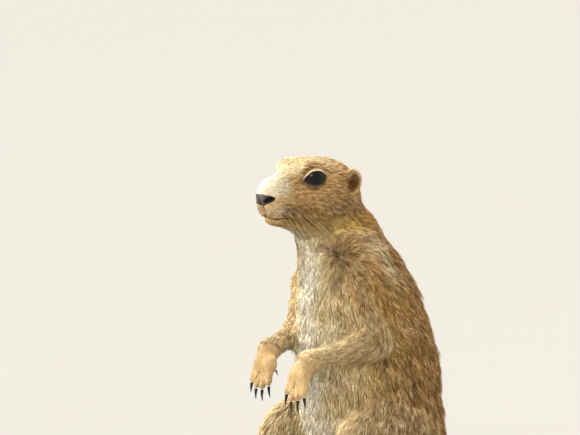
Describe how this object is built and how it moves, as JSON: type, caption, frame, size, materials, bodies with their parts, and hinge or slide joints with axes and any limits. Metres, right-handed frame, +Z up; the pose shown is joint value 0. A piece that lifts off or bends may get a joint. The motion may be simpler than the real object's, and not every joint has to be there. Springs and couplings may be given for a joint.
{
  "type": "prairie dog",
  "caption": "Life-size still model of a prairie dog sitting upright on its haunches, forepaws hanging at its belly, head turned a little to its right.",
  "frame": {"origin": "on the floor, under the middle of the bounding box", "axes": "+Z up, the body faces -X, its left side is towards -Y"},
  "size_m": [0.1998, 0.0988, 0.2134],
  "materials": {
    "coat_body": "short dense fur, buff tan with darker strands on the back, cream on the chest and belly",
    "coat_head": "very short dense fur, cinnamon crown with pale flecks, pale eye ring and muzzle, ochre cheek",
    "coat_feet": "very short flat fur, pale buff",
    "coat_tail_tip": "longer bristly fur, near black",
    "eye": "wet gloss, near black",
    "nose": "fine grained bare skin, dark grey",
    "claw": "smooth horn, dark grey-brown, paler at the root",
    "whisker": "stiff black hair"
  },
  "bodies": {
    "root": {"head": "coat_head", "ear_right": "coat_head", "ear_left": "coat_head", "neck": "coat_body", "chest": "coat_body", "abdomen": "coat_body", "foreleg_right": "coat_body", "foreleg_left": "coat_body", "hindleg_right": "coat_body", "hindleg_left": "coat_body", "tail": "coat_body", "tail_tip": "coat_tail_tip", "forepaw_right": "coat_feet", "forepaw_left": "coat_feet", "hindfoot_right": "coat_feet", "hindfoot_left": "coat_feet", "eye_right": "eye", "eye_left": "eye", "claw_fore_right_1": "claw", "claw_fore_right_2": "claw", "claw_fore_right_3": "claw", "claw_fore_right_4": "claw", "claw_fore_right_5": "claw", "claw_fore_left_1": "claw", "claw_fore_left_2": "claw", "claw_fore_left_3": "claw", "claw_fore_left_4": "claw", "claw_fore_left_5": "claw", "claw_hind_right_1": "claw", "claw_hind_right_2": "claw", "claw_hind_right_3": "claw", "claw_hind_right_4": "claw", "claw_hind_right_5": "claw", "claw_hind_left_1": "claw", "claw_hind_left_2": "claw", "claw_hind_left_3": "claw", "claw_hind_left_4": "claw", "claw_hind_left_5": "claw"}
  },
  "joints": []
}
